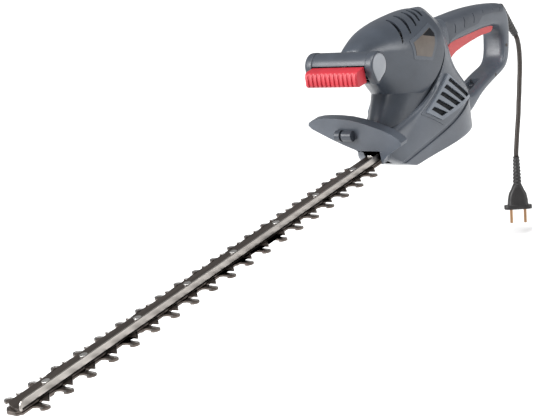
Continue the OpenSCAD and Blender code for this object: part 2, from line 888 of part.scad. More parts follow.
front_switch_x = bar_x;
front_switch_z = bar_z - 2;
spring_z = bar_z - 5;
front_plunger_x = switch_bar_rear + switch_bar_travel + loose_gap;
module front_switch() {
    placed("#2d2f33") difference() {
        block([front_switch_x, -10, front_switch_z - 5], [front_switch_x + 8, 10, front_switch_z + 5]);
        translate([front_switch_x - 1, 0, front_switch_z]) rotate([0, 90, 0])
            cylinder(r = plunger_r + shaft_gap, h = 7);
    }
}

module front_switch_plunger() {
    placed("white") translate([front_plunger_x, 0, front_switch_z])
        rotate([0, 90, 0])
            cylinder(r = plunger_r, h = front_switch_x + 3 - front_plunger_x);
}

// ---------- trigger and rear switch ----------

module rear_trigger() {
    placed("#e06a6c") difference() {
        side(trigger_outline, -trigger_half, trigger_half);
        cross_pin(trigger_pin_r + shaft_gap, trigger_pin_x, trigger_pin_z, -20, 20);
    }
}

module trigger_pin() {
    placed("silver") cross_pin(trigger_pin_r, trigger_pin_x, trigger_pin_z,
        -handle_half + wall / 2, handle_half - wall / 2);
}

module trigger_spring() {
    placed("silver") translate([trigger_spring_x, 0, 84.2]) ring(3.5, 2.6, 0, 109 - 84.2);
}

module rear_switch() {
    placed("#2d2f33") difference() {
        block([rear_switch_x, -8, rear_switch_z],
            [rear_switch_x + rear_switch_l, 8, rear_switch_z + rear_switch_h]);
        disc(plunger_r + shaft_gap, rear_switch_z - 1, rear_switch_z + 5, rear_switch_x + 20);
    }
}

module rear_switch_plunger() {
    placed("white") disc(plunger_r, rear_switch_z - 2.6, rear_switch_z + 2.6,
        rear_switch_x + 20);
}

// ---------- cord and plug ----------

module strain_relief() {
    placed("#2b2724") translate(relief_start) rotate([0, relief_lean, 0]) difference() {
        union() {
            translate([0, 0, -5]) cylinder(r = relief_r, h = 21);
            translate([0, 0, 16 - touch]) cylinder(r1 = relief_r, r2 = 5, h = 38);
        }
        translate([0, 0, 30]) cylinder(r = cord_d / 2, h = 40);
    }
}

// The ring of points around one place on the cord
cord_sides = 8;
function route_way(r, i) = unit(r[min(i + 1, len(r) - 1)] - r[max(i - 1, 0)]);
function cord_ring(p, way, radius) = let (across = [0, 1, 0], up = cross(way, across))
    [for (k = [0:cord_sides - 1]) let (a = 360 * k / cord_sides)
        p + radius * (cos(a) * across + sin(a) * up)];

module swept(route, radius) {
    n = len(route);
    m = cord_sides;
    points = [for (i = [0:n - 1]) each cord_ring(route[i], route_way(route, i), radius)];
    sides = [for (i = [0:n - 2]) for (k = [0:m - 1])
        [i * m + k, i * m + (k + 1) % m, (i + 1) * m + (k + 1) % m, (i + 1) * m + k]];
    polyhedron(points, concat(sides,
        [[for (k = [m - 1:-1:0]) k], [for (k = [0:m - 1]) (n - 1) * m + k]]));
}

module power_cord() {
    placed("#33302d") swept(cord_route, cord_d / 2);
}

// The plug's own frame: it hangs down from the end of the cord
module at_plug() {
    translate(cord_route[len(cord_route) - 1])
        rotate([0, 0, plug_turn]) rotate(plug_tilt) mirror([0, 0, 1]) children();
}

module plug_relief() {
    placed("#1f1d1c") at_plug() {
        cylinder(r1 = 4.4, r2 = 6, h = relief_len);
    }
}

module plug_body() {
    body_end = relief_len + plug_len;
    placed("#1f1d1c") at_plug() union() {
        translate([0, 7, 0]) rotate([90, 0, 0]) linear_extrude(14) polygon([
            [-8, relief_len], [8, relief_len], [11, relief_len + 5], [14, body_end - 4],
            [14, body_end], [-14, body_end], [-14, body_end - 4], [-11, relief_len + 5]]);
        translate([-19, -8, body_end - flange_len]) cube([38, 16, flange_len]);
    }
}

module plug_pins() {
    body_end = relief_len + plug_len;
    placed("#b08d57") at_plug() for (s = [-1, 1])
        translate([s * pin_spacing / 2, 0, body_end]) cylinder(r = pin_d / 2, h = pin_length);
}

housing_left();
housing_right();
motor_hood();
base_cover();
hand_guard();
guard_clip();
vent_grille_left();
vent_grille_right();
label_plate_left();
label_plate_right();
front_handle();
handle_cap_left();
handle_cap_right();
front_switch_bar();
front_bar_springs();
front_switch();
front_switch_plunger();
rear_trigger();
trigger_pin();
trigger_spring();
rear_switch();
rear_switch_plunger();
cable_hook();
support_bar();
blade_bolts();
blade_nuts();
upper_blade();
lower_blade();
entry_plate();
drive_gear();
crank_shaft();
upper_cam();
lower_cam();
crank_bush_low();
crank_bush_high();
gear_plate();
motor_shaft();
motor_pinion();
armature_core();
armature_windings();
commutator();
cooling_fan();
motor_bearing_low();
motor_bearing_high();
stator_core();
field_coils();
motor_bracket();
brush_holders();
carbon_brushes();
capacitor();
cord_clamp();
base_screws();
housing_screws();
strain_relief();
power_cord();
plug_relief();
plug_body();
plug_pins();
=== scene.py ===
# %% [markdown]
# # A corded hedge trimmer
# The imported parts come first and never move. Every new piece is made in metres
# in the same frame. Its origin is the middle of the rear grip, -X points along
# the blade, -Y is the left side and Z is up.
# %% Load the parts
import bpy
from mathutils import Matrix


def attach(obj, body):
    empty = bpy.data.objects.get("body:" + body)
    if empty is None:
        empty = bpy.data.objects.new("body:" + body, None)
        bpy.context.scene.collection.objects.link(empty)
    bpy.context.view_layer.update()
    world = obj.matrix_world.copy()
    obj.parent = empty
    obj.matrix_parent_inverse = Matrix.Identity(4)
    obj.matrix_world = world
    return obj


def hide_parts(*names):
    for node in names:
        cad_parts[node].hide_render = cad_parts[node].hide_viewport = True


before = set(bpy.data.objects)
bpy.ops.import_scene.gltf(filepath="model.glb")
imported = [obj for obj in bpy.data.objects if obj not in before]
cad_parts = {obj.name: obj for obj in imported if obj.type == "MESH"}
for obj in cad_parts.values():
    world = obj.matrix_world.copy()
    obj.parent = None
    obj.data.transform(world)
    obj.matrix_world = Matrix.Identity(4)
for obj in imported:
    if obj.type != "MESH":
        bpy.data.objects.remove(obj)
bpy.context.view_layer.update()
print("parts:", len(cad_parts))

# %% Tools
import math
import bmesh
import bpy
from mathutils import Matrix, Vector
from mathutils.bvhtree import BVHTree

print("Blender", bpy.app.version_string)

# %% [markdown]
# The part is drawn in millimetres, from the rearmost tooth and the plane
# between the blades. One helper turns such a place into the shared frame, so
# the numbers below can be read beside the drawing.
# %% Places
def at(x, y, z):
    return Vector(((x - 300) / 1000, y / 1000, (z - 96) / 1000))

print("rearmost tooth:", at(0, 0, 0))

# %% [markdown]
# ## Camera
# A long lens from the front left, a little above the tool, looks along the
# blade. Its turn is built from its own right and up directions.
# %% Camera
camera_data = bpy.data.cameras.new("camera")
camera_data.lens = 94.56
camera_data.sensor_width = 36
camera_data.clip_start, camera_data.clip_end = 0.05, 50
camera = bpy.data.objects.new("camera", camera_data)
bpy.context.collection.objects.link(camera)
camera_right = Vector((0.5853, -0.782, -0.2142)).normalized()
camera_up = Vector((0.3929, 0.0424, 0.9186))
camera_back = camera_right.cross(camera_up).normalized()
camera_up = camera_back.cross(camera_right)
camera_turn = Matrix((camera_right, camera_up, camera_back)).transposed().to_4x4()
camera_place = Vector((-1.5281, -0.9291, 0.4274))
camera.matrix_world = Matrix.Translation(camera_place) @ camera_turn
bpy.context.scene.camera = camera
bpy.context.scene.view_settings.view_transform = "Standard"
print("lens", camera_data.lens)

# %% [markdown]
# ## Finishes
# Moulded plastic has a fine spark-eroded grain, and its gloss wanders a little.
# Each finish is one Principled shader: the colour drifts over a broad noise,
# the roughness over a finer one, and the grain is a bump of about half a
# millimetre. All patterns read Object coordinates, so they stay on the piece.
# %% Finish helper
ROUGH_DRIFT = 0.08

def finish(name, colour, rough=0.5, metal=0.0, grain=1500, bump=0.12, drift=0.12,
           streak=(1, 1, 1), gloss=0.5):
    mat = bpy.data.materials.new(name)
    mat.use_nodes = True
    tree = mat.node_tree
    node, link = tree.nodes, tree.links.new
    shader = node["Principled BSDF"]
    shader.inputs["Metallic"].default_value = metal
    shader.inputs["Specular IOR Level"].default_value = gloss
    place = node.new("ShaderNodeTexCoord")
    turn = node.new("ShaderNodeMapping")
    turn.inputs["Scale"].default_value = streak
    link(place.outputs["Object"], turn.inputs["Vector"])
    broad = node.new("ShaderNodeTexNoise")
    broad.inputs["Scale"].default_value = 38
    broad.inputs["Detail"].default_value = 4
    link(turn.outputs["Vector"], broad.inputs["Vector"])
    ramp = node.new("ShaderNodeValToRGB")
    low = [c * (1 - drift) for c in colour]
    high = [min(1, c * (1 + drift)) for c in colour]
    ramp.color_ramp.elements[0].position = 0.3
    ramp.color_ramp.elements[1].position = 0.72
    ramp.color_ramp.elements[0].color = (*low, 1)
    ramp.color_ramp.elements[1].color = (*high, 1)
    link(broad.outputs["Fac"], ramp.inputs["Fac"])
    link(ramp.outputs["Color"], shader.inputs["Base Color"])
    fine = node.new("ShaderNodeTexNoise")
    fine.inputs["Scale"].default_value = grain / 6
    fine.inputs["Detail"].default_value = 3
    link(turn.outputs["Vector"], fine.inputs["Vector"])
    spread = node.new("ShaderNodeMapRange")
    spread.inputs["To Min"].default_value = rough - ROUGH_DRIFT
    spread.inputs["To Max"].default_value = rough + ROUGH_DRIFT
    link(fine.outputs["Fac"], spread.inputs["Value"])
    link(spread.outputs["Result"], shader.inputs["Roughness"])
    pits = node.new("ShaderNodeTexNoise")
    pits.inputs["Scale"].default_value = grain
    pits.inputs["Detail"].default_value = 2
    link(turn.outputs["Vector"], pits.inputs["Vector"])
    raise_ = node.new("ShaderNodeBump")
    raise_.inputs["Strength"].default_value = bump
    raise_.inputs["Distance"].default_value = 0.0004
    link(pits.outputs["Fac"], raise_.inputs["Height"])
    link(raise_.outputs["Normal"], shader.inputs["Normal"])
    return mat

print("finish helper ready")

# %% Plastics and rubbers
slate = finish("slate_plastic", (0.066, 0.077, 0.095), 0.34)
# The hood and the column are the same slate plastic as the case. Their darker copies here are
# painted shade, deepest on the column.
hood_slate_painted_shade = finish("hood_plastic", (0.047, 0.056, 0.071), 0.33)
column_slate_painted_shade = finish("column_plastic_painted_shade", (0.036, 0.043, 0.055), 0.33)
dark_slate = finish("dark_slate_plastic", (0.04, 0.047, 0.06), 0.38)
grip_rubber = finish("grip_rubber", (0.05, 0.058, 0.073), 0.48, grain=900, bump=0.25)
pale_grey = finish("pale_grey_plastic", (0.26, 0.275, 0.3), 0.38)
rib_grey = finish("rib_grey_plastic", (0.125, 0.143, 0.17), 0.36)
red_plastic = finish("red_plastic", (0.4, 0.018, 0.03), 0.46, bump=0.05)
salmon_plastic = finish("trigger_plastic", (0.5, 0.06, 0.062), 0.46, bump=0.06)
label_film = finish("label_film", (0.1, 0.083, 0.07), 0.4, bump=0.04, drift=0.3)
# Near black: painted shade in the vent slots. It also darkens the upper corner of the hood plates.
near_black = finish("near_black_finish", (0.006, 0.007, 0.009), 0.75, gloss=0.2)
cord_rubber = finish("cord_rubber", (0.028, 0.021, 0.017), 0.5, grain=700, bump=0.12)
plug_rubber = finish("plug_rubber", (0.014, 0.013, 0.013), 0.42, grain=900)
bakelite = finish("switch_plastic", (0.03, 0.03, 0.033), 0.38)
nylon = finish("white_nylon", (0.72, 0.71, 0.66), 0.45)
print("plastics made")

# %% [markdown]
# Metals get a high metallic value. The blades are dark and oiled, with brush
# marks along their length. The bar above them is one bent steel angle: its web
# is given darker steel as painted shade and its flange bright steel as a painted
# highlight. The bolts are zinc plated.
# %% Metals
blade_steel = finish("blade_steel", (0.12, 0.1, 0.088), 0.42, 0.85, grain=900, bump=0.1,
                     drift=0.35, streak=(0.25, 3, 3))
# Bright steel for the bar's flange: a painted highlight.
bar_steel = finish("bar_steel", (0.4, 0.375, 0.35), 0.34, 1.0, grain=800, bump=0.08,
                   drift=0.15, streak=(0.15, 4, 4))
# Darker steel for the screws, and as painted shade on the bar's web.
dark_steel_and_web_shade = finish("dark_steel_and_web_shade", (0.05, 0.04, 0.034), 0.4, 0.6, grain=900, bump=0.1,
                    drift=0.3, streak=(0.25, 3, 3))
zinc = finish("zinc_plate", (0.72, 0.71, 0.69), 0.28, 1.0, grain=900, bump=0.06)
ground_steel = finish("ground_steel", (0.5, 0.49, 0.48), 0.26, 1.0, bump=0.05)
brass = finish("pin_brass", (0.45, 0.27, 0.15), 0.34, 1.0, bump=0.05)
bronze = finish("sintered_bronze", (0.45, 0.25, 0.12), 0.5, 1.0, grain=2200, bump=0.3)
copper = finish("enamelled_copper", (0.5, 0.17, 0.06), 0.35, 1.0, grain=700, bump=0.5,
                streak=(1, 1, 5))
laminate = finish("stacked_laminate", (0.3, 0.3, 0.31), 0.45, 1.0, grain=500, bump=0.5,
                  streak=(0.2, 0.2, 6))
carbon = finish("carbon", (0.02, 0.02, 0.02), 0.6, 0.2, bump=0.3)
alloy = finish("cast_alloy", (0.5, 0.51, 0.52), 0.5, 1.0, grain=1200, bump=0.35)
print("metals made")

# %% [markdown]
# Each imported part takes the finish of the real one. Only the material slots
# change: the shapes stay as drawn.
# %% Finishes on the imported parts
dressing = {
    blade_steel: "upper_blade lower_blade blade_nuts",
    dark_steel_and_web_shade: "support_bar base_screws housing_screws",
    zinc: "blade_bolts entry_plate",
    ground_steel: "crank_shaft motor_shaft motor_pinion trigger_pin trigger_spring"
                  " front_bar_springs motor_bearing_low motor_bearing_high drive_gear",
    brass: "plug_pins brush_holders commutator",
    bronze: "crank_bush_low crank_bush_high upper_cam lower_cam",
    copper: "armature_windings field_coils",
    laminate: "armature_core stator_core",
    carbon: "carbon_brushes",
    alloy: "gear_plate motor_bracket",
    bakelite: "front_switch rear_switch cooling_fan cord_clamp capacitor",
    nylon: "front_switch_plunger rear_switch_plunger",
    dark_slate: "cable_hook guard_clip front_handle motor_hood",
    slate: "housing_left housing_right base_cover hand_guard",
    pale_grey: "vent_grille_left vent_grille_right handle_cap_left handle_cap_right",
    label_film: "label_plate_left label_plate_right",
    red_plastic: "front_switch_bar",
    salmon_plastic: "rear_trigger",
    cord_rubber: "power_cord strain_relief",
    plug_rubber: "plug_relief plug_body",
}
for mat, names in dressing.items():
    for name in names.split():
        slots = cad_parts[name].material_slots
        for one in slots:
            one.material = mat
        if not slots:
            print("no slot on", name)
print("dressed", sum(len(v.split()) for v in dressing.values()))

# %% [markdown]
# ## Making a skin
# A moulded shell is a smooth skin over a few sections. A grid gives the faces,
# each of its rows takes the points of one section, the seam is merged, and
# subdivision rounds the skin between them.
# %% Skin helpers
def add_piece(name, bm, mat, body="tool_body", sub=0, bevel=0.0, wall=0.0, smooth=True):
    bmesh.ops.recalc_face_normals(bm, faces=bm.faces)
    mesh = bpy.data.meshes.new(name)
    bm.to_mesh(mesh)
    bm.free()
    piece = bpy.data.objects.new(name, mesh)
    bpy.context.collection.objects.link(piece)
    mesh.materials.append(mat)
    for face in mesh.polygons:
        face.use_smooth = smooth
    if sub:
        soft = piece.modifiers.new("Subdivision", "SUBSURF")
        soft.levels = soft.render_levels = sub
    if wall:
        thick = piece.modifiers.new("Solidify", "SOLIDIFY")
        thick.thickness, thick.offset = wall, -1
    if bevel:
        edge = piece.modifiers.new("Bevel", "BEVEL")
        edge.width, edge.segments, edge.limit_method = bevel, 3, "ANGLE"
        edge.angle_limit = math.radians(32)
        edge.harden_normals = True
    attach(piece, body)
    return piece

def skin_mesh(rows, ends=(True, True), row_crease={}, line_crease={}):
    across, along = len(rows[0]), len(rows)
    bm = bmesh.new()
    bmesh.ops.create_grid(bm, x_segments=across, y_segments=along - 1, size=1)
    crease = bm.edges.layers.float.new("crease_edge")
    spot = {v: (round((v.co.x + 1) / 2 * across), round((v.co.y + 1) / 2 * (along - 1)))
            for v in bm.verts}
    for e in bm.edges:
        (line, row), (_, far_row) = spot[e.verts[0]], spot[e.verts[1]]
        if row == far_row:
            e[crease] = row_crease.get(row, 0.0)
        else:
            e[crease] = line_crease.get(line % across, 0.0)
    for v, (i, j) in spot.items():
        v.co = rows[j][i % across]
    bmesh.ops.remove_doubles(bm, verts=bm.verts, dist=1e-6)
    for j, fill in zip((0, along - 1), ends):
        if fill:
            rim = [e for e in bm.edges if e.is_boundary and all(
                min((v.co - p).length for p in rows[j]) < 1e-6 for v in e.verts)]
            if rim:
                bmesh.ops.contextual_create(bm, geom=rim)
    return bm

def bend(value, power):
    """A power that keeps the sign: it squares off a circle into a rounded box."""
    return math.copysign(abs(value) ** power, value)

def both_sides(half):
    """A loop from the points on the left, front to rear, and their mirror images."""
    left = [at(*p) for p in half]
    return left + [Vector((p.x, -p.y, p.z)) for p in reversed(left[1:-1])]

print("skin helpers ready")

# %% [markdown]
# ## Cord
# The cord leaves the rear of the handle and hangs under its own weight to the
# plug. It is short and rather stiff. A tube is laid along the same points as
# the drawn cord, and each of its rings stands square to the way.
# %% Cord
def tube_mesh(route, radius, sides=16):
    rows = []
    for i, p in enumerate(route):
        way = (route[min(i + 1, len(route) - 1)] - route[max(i - 1, 0)]).normalized()
        side = Vector((0, 1, 0))
        up = way.cross(side).normalized()
        r = radius[i] if isinstance(radius, list) else radius
        rows.append([p + r * (math.cos(a) * side + math.sin(a) * up)
                     for a in (2 * math.pi * k / sides for k in range(sides))])
    return skin_mesh(rows)

cord_points = [at(*p) for p in (
    (413, 0, 37), (416, 0, 30), (417, 0, 21), (416, 0, 10), (413, 0, -3), (408.5, 0, -16),
    (404, 0.5, -29), (399, 0.5, -42), (394, 1, -55), (389, 1, -68), (383.5, 1.5, -81),
    (378, 2, -94), (373, 2.5, -107), (369, 3, -118), (367, 3, -125))]
cord = add_piece("cord", tube_mesh(cord_points, 0.00325), cord_rubber)
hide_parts("power_cord")

# %% [markdown]
# Two moulded sleeves keep the cord from kinking. Each is a taper with rings
# cut into it, so its radius steps in and out along the way.
# %% Sleeves
GROOVE = 0.86    # how much of the radius is left in a groove

def sleeve(name, start, way, length, r0, r1, rings, lead=0.0):
    route, radius = [], []
    if lead:
        route += [start - way * lead, start - way * 0.0005]
        radius += [r0 * 0.98, r0]
    step = length / (rings * 4)
    for k in range(rings * 4 + 1):
        route.append(start + way * (k * step))
        taper = r0 + (r1 - r0) * k / (rings * 4)
        radius.append(taper * (GROOVE if k % 4 in (2, 3) else 1.0))
    return add_piece(name, tube_mesh(route, radius, 20), plug_rubber, bevel=0.0002)

relief_way = (at(413, 0, 37) - at(383, 0, 82)).normalized()
relief = sleeve("cord_relief", at(386, 0, 77.5), relief_way, 0.047, 0.0066, 0.0046, 9, lead=0.009)
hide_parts("strain_relief")
plug_end = cord_points[-1]
plug_turn = (Matrix.Rotation(math.radians(-53), 4, "Z")
             @ Matrix.Rotation(math.radians(9), 4, "Y")
             @ Matrix.Rotation(math.radians(-13), 4, "X"))
plug_place = Matrix.Translation(plug_end) @ plug_turn @ Matrix.Diagonal((1, 1, -1, 1))
plug_way = (plug_place.to_3x3() @ Vector((0, 0, 1))).normalized()
plug_sleeve = sleeve("plug_sleeve", plug_end - plug_way * 0.0015, plug_way, 0.043,
                     0.0046, 0.0064, 9)
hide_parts("plug_relief")
print("sleeves made")

# %% [markdown]
# The plug's body widens from the sleeve to a flat flange. Its sections are
# rounded rectangles stacked along the plug's own axis.
# %% Plug body
def rounded_section(half_x, half_y, power, n, place):
    loop = []
    for k in range(n):
        a = 2 * math.pi * k / n
        c, s = math.cos(a), math.sin(a)
        loop.append(place @ Vector((half_x * bend(c, 2 / power), half_y * bend(s, 2 / power), 0)))
    return loop

plug_rows = []
for half_x, half_y, depth in ((6.4, 5.6, 38), (7.6, 6.8, 41), (9, 7, 44), (11.8, 7.4, 49),
                              (13.6, 7.6, 57), (14.2, 7.8, 64.6), (14.3, 7.9, 65),
                              (18.6, 8.3, 65.2), (19, 8.5, 66), (19, 8.5, 70.2), (18.5, 8, 71)):
    plug_rows.append(rounded_section(half_x / 1000, half_y / 1000, 3.4, 24,
                                     plug_place @ Matrix.Translation((0, 0, depth / 1000))))
plug = add_piece("plug_shell", skin_mesh(plug_rows), plug_rubber, bevel=0.0004)
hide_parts("plug_body")
print("plug made")

# %% [markdown]
# ## Cutting, draping and refining
# Openings are taken out of a finished skin with a Boolean, and the result is
# kept as plain mesh. Small flat parts that lie on a curved shell are cut out
# of a grid, dropped on to the shell along Y and given a thickness. A packed
# part with sharp edges is copied, merged and bevelled.
# %% Cutting helpers
def bake(piece):
    deps = bpy.context.evaluated_depsgraph_get()
    fresh = bpy.data.meshes.new_from_object(piece.evaluated_get(deps))
    piece.modifiers.clear()
    piece.data = fresh
    fresh.set_sharp_from_angle(angle=math.radians(33))

def cut(piece, bm):
    bmesh.ops.recalc_face_normals(bm, faces=bm.faces)
    mesh = bpy.data.meshes.new("cutter")
    bm.to_mesh(mesh)
    bm.free()
    tool = bpy.data.objects.new("cutter", mesh)
    bpy.context.collection.objects.link(tool)
    take = piece.modifiers.new("Cut", "BOOLEAN")
    take.operation, take.solver, take.object = "DIFFERENCE", "EXACT", tool
    take.use_self = True
    bake(piece)
    bpy.data.objects.remove(tool)
    print(piece.name, "faces after cut:", len(piece.data.polygons))

def add_face(bm, points):
    return bm.faces.new([bm.verts.new(p) for p in points])

def extrude(bm, faces, way):
    """Draws faces out along a way and gives the faces at the far end."""
    grown = bmesh.ops.extrude_face_region(bm, geom=faces)["geom"]
    bmesh.ops.translate(bm, verts=[g for g in grown if isinstance(g, bmesh.types.BMVert)], vec=way)
    return [g for g in grown if isinstance(g, bmesh.types.BMFace)]

def add_prism(bm, outline, low, high):
    """A solid with its outline in X and Z and its length along Y."""
    extrude(bm, [add_face(bm, [at(x, low, z) for x, z in outline])], (0, (high - low) / 1000, 0))
    return bm

def add_block(bm, low, high):
    a, b = at(*low), at(*high)
    made = bmesh.ops.create_cube(bm, size=1)["verts"]
    bmesh.ops.scale(bm, verts=made, vec=b - a)
    bmesh.ops.translate(bm, verts=made, vec=(a + b) / 2)
    return bm

# %% Draping helper
OUTSIDE, MISSED = 80, 40    # where a plate starts, and where it stays without a surface

def drape(bm, outline, surface, side, lift, thick, cell=2.0):
    """Adds a plate over a convex outline in X and Z. side is -1 on the left.
    It starts well outside the body, and lift and thick are in millimetres."""
    xs, zs = [p[0] for p in outline], [p[1] for p in outline]
    x0, z0, width, height = min(xs), min(zs), max(xs) - min(xs), max(zs) - min(zs)
    mid = at(sum(xs) / len(xs), 0, sum(zs) / len(zs))
    patch = bmesh.new()
    bmesh.ops.create_grid(patch, x_segments=max(1, int(width / cell)),
                          y_segments=max(1, int(height / cell)), size=0.5)
    for v in patch.verts:
        v.co = at(x0 + (v.co.x + 0.5) * width, side * OUTSIDE, z0 + (v.co.y + 0.5) * height)
    for a, b in zip(outline, outline[1:] + outline[:1]):
        a, b = at(a[0], side * OUTSIDE, a[1]), at(b[0], side * OUTSIDE, b[1])
        out = (b - a).cross(Vector((0, 1, 0))).normalized()
        if out.dot(a - Vector((mid.x, a.y, mid.z))) < 0:
            out = -out
        bmesh.ops.bisect_plane(patch, geom=patch.verts[:] + patch.edges[:] + patch.faces[:],
                               dist=1e-7, plane_co=a, plane_no=out, clear_outer=True)
    for v in patch.verts:
        hit = surface.ray_cast(v.co, Vector((0, -side, 0)))[0]
        v.co.y = (hit.y if hit else side * MISSED / 1000) + side * lift / 1000
    extrude(patch, patch.faces[:], (0, side * thick / 1000, 0))
    bmesh.ops.recalc_face_normals(patch, faces=patch.faces)
    spare = bpy.data.meshes.new("patch")
    patch.to_mesh(spare)
    patch.free()
    bm.from_mesh(spare)
    bpy.data.meshes.remove(spare)
    return bm

def surface_of(piece):
    return BVHTree.FromObject(piece, bpy.context.evaluated_depsgraph_get())

GROUND_WIDTH, GROUND_DROP = 0.0016, 0.0009

def refine(node, name, mat, bevel, body, ground=None):
    """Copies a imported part. With a second finish, its upper rim is ground to a bevel."""
    bm = bmesh.new()
    bm.from_mesh(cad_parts[node].data)
    bmesh.ops.remove_doubles(bm, verts=bm.verts, dist=2e-6)
    bmesh.ops.dissolve_limit(bm, angle_limit=0.01, verts=bm.verts, edges=bm.edges)
    if ground:
        top = max(v.co.z for v in bm.verts)
        flat = [f for f in bm.faces
                if f.normal.z > 0.99 and f.calc_center_median().z > top - 1e-5]
        rim = {v for f in flat for v in f.verts}
        ring = bmesh.ops.inset_region(bm, faces=flat, thickness=GROUND_WIDTH,
                                      use_even_offset=True, use_boundary=True)["faces"]
        for v in {v for f in ring for v in f.verts} & rim:
            v.co.z -= GROUND_DROP
        for f in ring:
            f.material_index = 1
    piece = add_piece(name, bm, mat, body, bevel=bevel, smooth=False)
    if ground:
        piece.data.materials.append(ground)
    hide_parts(node)
    return piece

print("helpers ready")

# %% [markdown]
# ## Side shells and base
# The lower housing is shaped like a boat: narrow at the blade, widest at the
# motor. Each section below runs along the left side from front to rear. Close
# rows cut the groove that runs along the side, and the upper rows draw back
# behind the motor, up to the sloping collar. Creases keep the moulded edges.
# %% Case sections
case_sections = [
    [(84, 0, -21), (84, -26, -21), (110, -29.5, -21), (140, -35, -21), (166, -37.5, -21),
     (192, -36.5, -21), (214, -29, -21), (229, -13, -21), (231, 0, -21)],
    [(79, 0, -21), (80, -31, -21), (110, -33.5, -21), (140, -38.8, -21),
     (166, -41.5, -21), (194, -40.5, -21), (218, -32, -20.5), (234, -14.5, -20), (236, 0, -20)],
    [(55, 0, -9), (57, -30.5, -10), (95, -35.6, -5.5), (132, -41.4, 0.2), (162, -44.6, 5.5),
     (191, -44, 13), (216, -35, 17), (236, -18, 15), (238, 0, 15)],
    [(54.4, 0, -8.6), (56.4, -29, -9.6), (95, -33.8, -4.8), (132, -39.4, 0.9),
     (162, -42.6, 6.2), (190, -42, 13.8), (215, -33.4, 17.8), (235, -17, 15.8), (237, 0, 15.8)],
    [(50.5, 0, -5.8), (52.5, -29, -6.4), (93, -33.8, -1), (130, -39.4, 4.6), (160, -42.6, 9.8),
     (189, -42, 17.2), (214, -33.4, 21.2), (234, -17, 19.1), (236, 0, 19.1)],
    [(49.8, 0, -5.2), (51.8, -29.8, -5.8), (92, -35.4, -0.4), (130, -41.4, 5.2), (160, -44.6, 10.4),
     (189, -44, 17.8), (214, -34.8, 21.8), (235, -18, 19.7), (237, 0, 19.7)],
    [(35, 0, 4), (38, -23.5, 6), (72, -35.5, 11), (112, -41.5, 18), (152, -45, 23),
     (190, -45, 26), (214, -37.5, 28), (233, -21, 27), (237, 0, 27)],
    [(35, 0, 26), (43.7, -20.5, 23.7), (75.4, -31, 28.2), (104, -41.6, 36), (146, -45.4, 39),
     (184, -45.4, 41), (208, -36.5, 42), (226, -19.5, 41), (230, 0, 41)],
    [(62, 0, 40), (76.4, -26, 35.3), (93.4, -33, 41.5), (112, -43, 49), (147, -45.4, 52),
     (178, -44.6, 53), (201, -34.5, 54), (217, -19, 54), (221, 0, 54)],
    [(100, 0, 53), (112.9, -34, 49.1), (123.2, -38.5, 53.5), (134, -44.8, 59), (155, -45.2, 62),
     (177, -43.4, 64), (198, -31.8, 65), (214, -18, 65), (217, 0, 65)],
    [(125, 0, 62.5), (133.7, -39.5, 60.2), (138, -44.6, 66), (150, -45, 69), (163, -44.4, 72),
     (178, -40.8, 74), (197, -29.6, 75), (214, -17.5, 76), (217, 0, 76)],
    [(145, 0, 74), (147, -44.8, 74), (155, -44.8, 76), (163, -44.2, 79), (171, -42.4, 81),
     (182, -38.4, 84), (199, -27.5, 86), (214, -17, 87), (217, 0, 87)],
    [(160, 0, 88), (161.5, -44.4, 88), (166.5, -43.6, 90), (172, -41.8, 92), (178.5, -38.8, 94),
     (187, -34.2, 96), (200, -25, 98), (213, -16.5, 99), (217, 0, 99)],
    [(165.5, 0, 104), (166.5, -42.6, 104), (170.5, -41.2, 105), (176, -38.6, 106),
     (182, -35.2, 107), (190, -30.2, 107.6), (202, -22.5, 108), (214, -15.5, 109), (220, 0, 110)],
    [(167, 0, 119), (168, -39, 119), (171.5, -37.4, 119), (177, -34.2, 118.6),
     (183.5, -30.2, 118.3), (191, -25.2, 118), (200, -19, 118), (210, -12.5, 118), (217, 0, 119)],
    [(168, 0, 131), (169, -32.4, 131), (172.5, -30.6, 130.6), (177.5, -27.4, 130),
     (182.5, -23.8, 129.4), (188, -19.6, 129), (194, -14.5, 128.8), (201, -9.5, 128.8),
     (207, 0, 129.6)],
    [(169, 0, 141), (170, -22.4, 141), (173, -21, 140.4), (177, -18.6, 139.8), (181, -16, 139.2),
     (185.5, -12.8, 138.6), (190, -9.4, 138.2), (195, -6, 138.4), (199, 0, 139)],
    [(170, 0, 146.6), (171, -11, 146.4), (173, -10.4, 146.2), (176, -9.2, 146),
     (179.5, -7.8, 145.6), (182.5, -6.2, 145), (186, -4.4, 144.4), (189, -2.6, 144),
     (191, 0, 144.2)],
]
rims = {1: 0.85, 2: 0.9, 3: 0.7, 4: 0.7, 5: 0.9}
corners = {1: 0.75, 15: 0.75}
SHELL_WALL = 0.0024
case = add_piece("case_shell", skin_mesh([both_sides(s) for s in case_sections],
                 row_crease=rims, line_crease=corners), slate, sub=3, wall=SHELL_WALL)
print("case sections:", len(case_sections))

# %% [markdown]
# The real shells are hollow. The blade comes out through a slot at the front,
# and the motor stands in a space behind the column, so both are cut free.
# %% Openings in the case
def motor_space():
    rows = []
    for x, half, top, low in ((62, 14, 100, 36), (80, 27, 116, 30), (100, 35, 128, 30),
                              (125, 38.5, 132, 30), (150, 39, 134, 30), (170, 35, 120, 30),
                              (186, 26, 108, 30), (200, 15, 100, 32)):
        middle, reach = (top + low) / 2, (top - low) / 2
        rows.append([at(x, half * bend(math.cos(a), 0.5), middle + reach * bend(math.sin(a), 0.6))
                     for a in (2 * math.pi * (k + 0.5) / 20 for k in range(20))])
    return skin_mesh(rows)

cut(case, add_block(motor_space(), (20, -13, -9.6), (60, 13, 12.6)))
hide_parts("housing_left", "housing_right", "base_cover")
print("case open")
